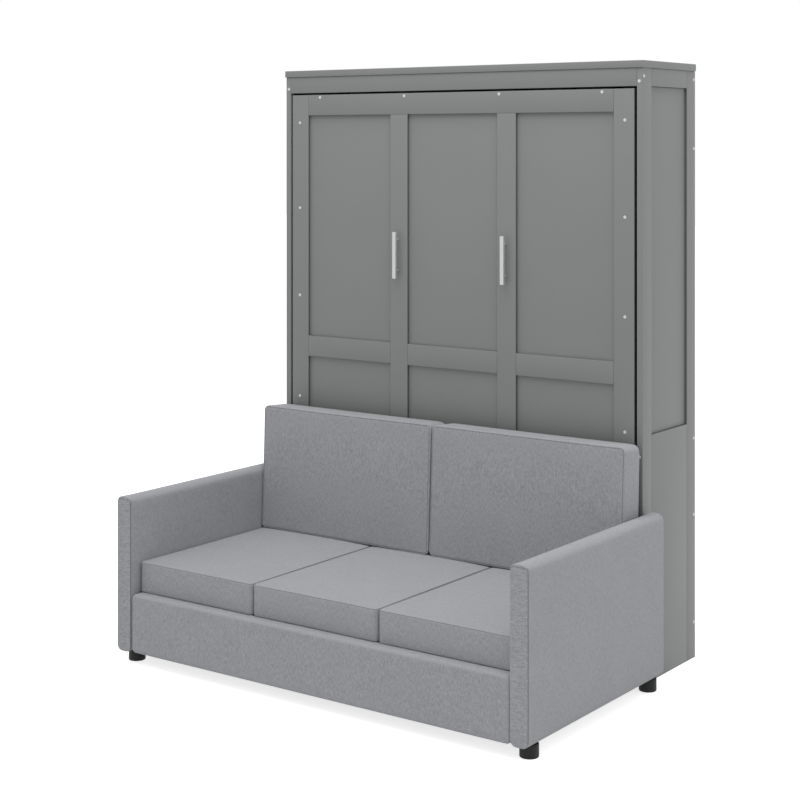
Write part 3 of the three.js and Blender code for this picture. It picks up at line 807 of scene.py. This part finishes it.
# Seat cushions: three loose foam cushions side by side, each a boxed cover of linen with a fine seam
# round its top edge. They crown a little and pull in along their sides.
SEAT_CORNER = 0.019
SEAT_EDGE = 0.0045
SEAT_RING = 0.004
SEAT_CROWN = 0.006
SEAT_DRAW = 0.003
SEAT_CROWN_SHARE = 0.9
SEAT_DRAW_SHARE = 0.4
CUSHION_GRID = 0.022
CUSHION_MARGIN = 0.004
HELD_MARGIN = 0.001
FILLING_PRESSURE = 4.0
CLOTH_FRAMES = 20


def plump(piece, held, reach):
    """Blows the cover up against its held points, as filling does, then keeps each point within its reach."""
    start = [v.co.copy() for v in piece.data.vertices]
    group = piece.vertex_groups.new(name="held")
    group.add(list(held), 1.0, "REPLACE")
    pick(piece)
    bpy.ops.object.modifier_add(type="CLOTH")
    cover = piece.modifiers[-1]
    cover.settings.use_pressure = True
    cover.settings.uniform_pressure_force = FILLING_PRESSURE
    cover.settings.effector_weights.gravity = 0
    cover.settings.vertex_group_mass = "held"
    cover.point_cache.frame_end = CLOTH_FRAMES
    for number in range(1, CLOTH_FRAMES + 1):
        bpy.context.scene.frame_set(number)
    bpy.ops.object.modifier_apply(modifier=cover.name)
    bpy.context.scene.frame_set(1)
    moves = [v.co - s for v, s in zip(piece.data.vertices, start)]
    for axis in (X, Y, Z):
        peak = max(abs(m[axis]) for m in moves) or 1.0
        for move in moves:
            move[axis] *= reach[axis] / peak
    for v, s, move in zip(piece.data.vertices, start, moves):
        v.co = s + move
    piece.vertex_groups.clear()


def boxed_cushion(name, low, high, axis, corner, edge, rings):
    """A boxed cushion's cover between two corners. Its boxing runs round an axis, with round corners, and
    meets the two end faces in round edges, inside which rings are drawn for the seams."""
    piece = block_at(name, low, high)
    bpy.ops.object.mode_set(mode="EDIT")
    round_over(piece, axis, corner, edge, END_STEPS)
    for sign in (-1, 1):
        draw_rings(piece, axis, sign, rings)
    for other in (X, Y, Z):
        margin = (edge if other == axis else corner) + CUSHION_MARGIN
        start, end = low[other] + margin, high[other] - margin
        slice_across(other, [start, *evenly(start, end, CUSHION_GRID), end])
    bpy.ops.object.mode_set(mode="OBJECT")
    return piece


def from_middle(point, low, high, axes):
    """Where a point lies between two corners along each axis, from -1 at the low one to 1 at the high one."""
    middle = (low + high) / 2
    return [(point[axis] - middle[axis]) / ((high[axis] - low[axis]) / 2) for axis in axes]


def draw_in(piece, low, high, axes, depth):
    """Pulls the boxing in between the corners, as a tight cover does."""
    for v in piece.data.vertices:
        u, w = from_middle(v.co, low, high, axes)
        v.co[axes[0]] -= u * depth * (1 - min(1, w * w))
        v.co[axes[1]] -= w * depth * (1 - min(1, u * u))


for name in ("left", "centre", "right"):
    low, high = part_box(f"seat_cushion_{name}")
    flat_top = high.z - SEAT_CROWN
    cushion = boxed_cushion(f"seat_cushion_cover_{name}", low, Vector((high.x, high.y, flat_top)), Z,
                            SEAT_CORNER, SEAT_EDGE, (SEAT_RING,))
    points = cushion.data.vertices
    rims = (low.z + SEAT_EDGE, flat_top - SEAT_EDGE)
    seam_points = [v.index for v in points if abs(v.co.z - rims[1] - SEAT_EDGE / 2) < AT_SEAM]
    underneath = [v.index for v in points if v.co.z < rims[0] + HELD_MARGIN]
    draw_in(cushion, low, high, (X, Y), SEAT_DRAW)
    crown = SEAT_CROWN * SEAT_CROWN_SHARE
    swell = SEAT_DRAW * SEAT_DRAW_SHARE
    plump(cushion, underneath + seam_points, (swell, swell, crown))
    mark_seam(cushion, seam_points)
    subdivide_smooth(cushion)
    dress(cushion, [cloth], "cabinet")
    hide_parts(f"seat_cushion_{name}")


# Back cushions: two loose boxed cushions that lean on the bed's front, so that their tops slope down
# behind. The front panel is sewn in just inside the edge, and the corners grow rounder towards the back.
# They tip forward as the bed comes down over them.
PANEL_CORNER = 0.0155
BACK_CORNER = 0.021
BACK_CORNER_BEHIND = 0.030
BACK_EDGE = 0.004
BACK_SEAM = 0.0065
BACK_RINGS = (BACK_SEAM - BACK_EDGE, 0.0015, 0.006)
BACK_CROWN = 0.005
BACK_DRAW = 0.001
BACK_BULGE = 0.001
ON_FACE = 0.0001
AT_BACK_SEAM = 0.0004
FOOT_FRONT = CABINET_FRONT - 0.154
FOOT_REAR = CABINET_FRONT - 0.042
TOP_FRONT = CABINET_FRONT - 0.134
TOP_REAR = CABINET_FRONT - 0.025
TOP_SLOPE = 0.0055


def back_corner(point, low, high):
    """The radius of a back cushion's corners, which grows from the front panel to the back."""
    inside = inside_edge(point, low, high, (X, Z), PANEL_CORNER)
    if point.y < low.y + ON_FACE and inside > BACK_SEAM - AT_BACK_SEAM:
        return PANEL_CORNER
    return BACK_CORNER + (BACK_CORNER_BEHIND - BACK_CORNER) * (point.y - low.y) / (high.y - low.y)


def lean_back(piece, low, high):
    """Slants the front and rear of a straight cushion to the places of its foot and top."""
    for v in piece.data.vertices:
        rise = min(1, max(0, (v.co.z - low.z) / (high.z - low.z)))
        through = (v.co.y - FOOT_FRONT) / (FOOT_REAR - FOOT_FRONT)
        front = FOOT_FRONT + (TOP_FRONT - FOOT_FRONT) * rise
        rear = FOOT_REAR + (TOP_REAR - FOOT_REAR) * rise
        v.co.y = front + (rear - front) * through
        v.co.z += rise * (1 - through) * TOP_SLOPE


for name in ("left", "right"):
    low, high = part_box(f"back_cushion_{name}")
    low.y, high.y = FOOT_FRONT, FOOT_REAR
    cushion = boxed_cushion(f"back_cushion_cover_{name}", low, high, Y, PANEL_CORNER, BACK_EDGE, BACK_RINGS)
    points = cushion.data.vertices
    flat = [v for v in points if v.co.y < low.y + ON_FACE or v.co.y > high.y - ON_FACE]
    seam_points = [v.index for v in flat
                   if abs(inside_edge(v.co, low, high, (X, Z), PANEL_CORNER) - BACK_SEAM) < AT_BACK_SEAM]
    behind = [v.index for v in points if v.co.y > high.y - BACK_EDGE - HELD_MARGIN]
    reround(cushion, low, high, (X, Z), PANEL_CORNER, back_corner)
    draw_in(cushion, low, high, (X, Z), BACK_DRAW)
    plump(cushion, behind + seam_points, (BACK_BULGE, BACK_CROWN, BACK_BULGE))
    lean_back(cushion, low, high)
    mark_seam(cushion, seam_points)
    subdivide_smooth(cushion)
    dress(cushion, [cloth], f"back_cushion_{name}")
    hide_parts(f"back_cushion_{name}")


# Studio: the camera where the photographer's stood, a plain pale floor, soft light from above and the
# right. The white that the camera sees is set apart from the light that falls on things.
CAMERA_PLACE = (3.61467, -5.08849, 1.91007)
CAMERA_TURN = 35.91
CAMERA_LENS = 76.2507
CAMERA_SHIFT = -0.322
CAMERA_SENSOR = 36
CAMERA_RANGE = 100
FLOOR_SIZE = 60
FLOOR_COLOUR = (0.8, 0.8, 0.8, 1)
FLOOR_GLOW = 0.75
AIR_LIGHT = 0.58
PLAIN_WHITE = (1, 1, 1, 1)
LAMP_SIZE = 4.0
LAMP_AIM = Vector((0, 0, 1.0))
LAMPS = (("side_softbox", (5.2, 3.0, 2.8), 36), ("top_softbox", (0.5, -1.2, 6.0), 180))

camera_data = bpy.data.cameras.new("camera")
camera_data.sensor_width = CAMERA_SENSOR
camera_data.lens = CAMERA_LENS
camera_data.shift_y = CAMERA_SHIFT
camera_data.clip_end = CAMERA_RANGE
camera = bpy.data.objects.new("camera", camera_data)
camera.location = CAMERA_PLACE
camera.rotation_euler = (math.pi / 2, 0, math.radians(CAMERA_TURN))
bpy.context.scene.collection.objects.link(camera)
bpy.context.scene.camera = camera

bpy.ops.object.select_all(action="DESELECT")
bpy.ops.mesh.primitive_plane_add(size=FLOOR_SIZE, location=(0, 0, 0))
floor = bpy.context.object
floor.name = "studio_floor"


def seen_directly(start):
    """1 for what the camera sees, itself or in metal and glass, and 0 for the light that falls on things."""
    paths = ("Is Camera Ray", "Is Glossy Ray", "Is Transmission Ray")
    camera_ray, glossy_ray, clear_ray = [start.node("LightPath", {}, {}, path) for path in paths]
    return start.sum("MAXIMUM", start.sum("MAXIMUM", camera_ray, glossy_ray), clear_ray)


floor_material = bpy.data.materials.new("pale_floor")
floor_material.use_nodes = True
floor_material.node_tree.nodes.clear()
start = Strand(floor_material.node_tree)
matt = start.node("BsdfDiffuse", {}, {"Color": FLOOR_COLOUR})
glow = start.node("Emission", {}, {"Color": PLAIN_WHITE, "Strength": FLOOR_GLOW})
lit = start.node("AddShader", {}, {0: matt, 1: glow})
surface = start.node("MixShader", {}, {0: seen_directly(start), 1: matt, 2: lit})
start.node("OutputMaterial", {}, {"Surface": surface})
floor.data.materials.append(floor_material)

world = bpy.data.worlds.new("studio_air")
bpy.context.scene.world = world
world.use_nodes = True
world.node_tree.nodes.clear()
air = Strand(world.node_tree)
white = air.node("Background", {}, {"Color": PLAIN_WHITE, "Strength": 1.0})
light = air.node("Background", {}, {"Color": PLAIN_WHITE, "Strength": AIR_LIGHT})
both = air.node("MixShader", {}, {0: seen_directly(air), 1: light, 2: white})
air.node("OutputWorld", {}, {"Surface": both})

for name, place, power in LAMPS:
    lamp = bpy.data.lights.new(name, "AREA")
    lamp.shape = "SQUARE"
    lamp.size = LAMP_SIZE
    lamp.energy = power
    holder = bpy.data.objects.new(name, lamp)
    holder.location = place
    holder.rotation_euler = (LAMP_AIM - Vector(place)).to_track_quat("-Z", "Y").to_euler()
    bpy.context.scene.collection.objects.link(holder)

bpy.context.scene.view_settings.view_transform = "Standard"
